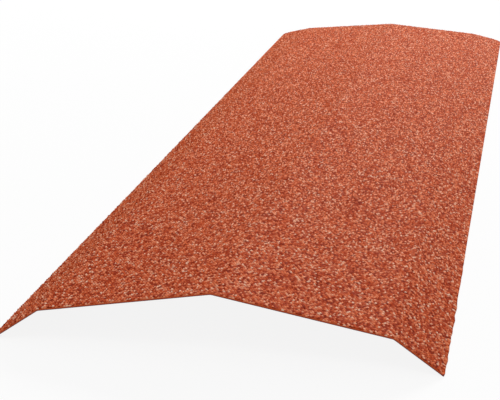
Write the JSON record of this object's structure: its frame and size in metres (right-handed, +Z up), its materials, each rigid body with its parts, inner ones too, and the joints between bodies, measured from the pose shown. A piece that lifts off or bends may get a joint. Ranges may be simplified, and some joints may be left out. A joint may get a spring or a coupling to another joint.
{
  "type": "roof ridge cap",
  "caption": "Stone-coated steel roof ridge cap: a long shallow V-shaped strip with two wide wings, down-turned side flanges and a flatter lap end.",
  "frame": {"origin": "on the floor that the cap lies on, under the middle of its ridge", "axes": "+X across the cap to its right wing, +Y along the ridge to the flatter lap end with its rounded flange corners, +Z up out of the granule-coated face"},
  "size_m": [0.3288, 1.2, 0.0459],
  "materials": {
    "stone_coated_steel": "brick-red mineral granules bonded over a red base coat on the upper face, thin reddish-grey primer on the lower face"
  },
  "bodies": {
    "root": {"ridge_cap": "stone_coated_steel"}
  },
  "joints": []
}
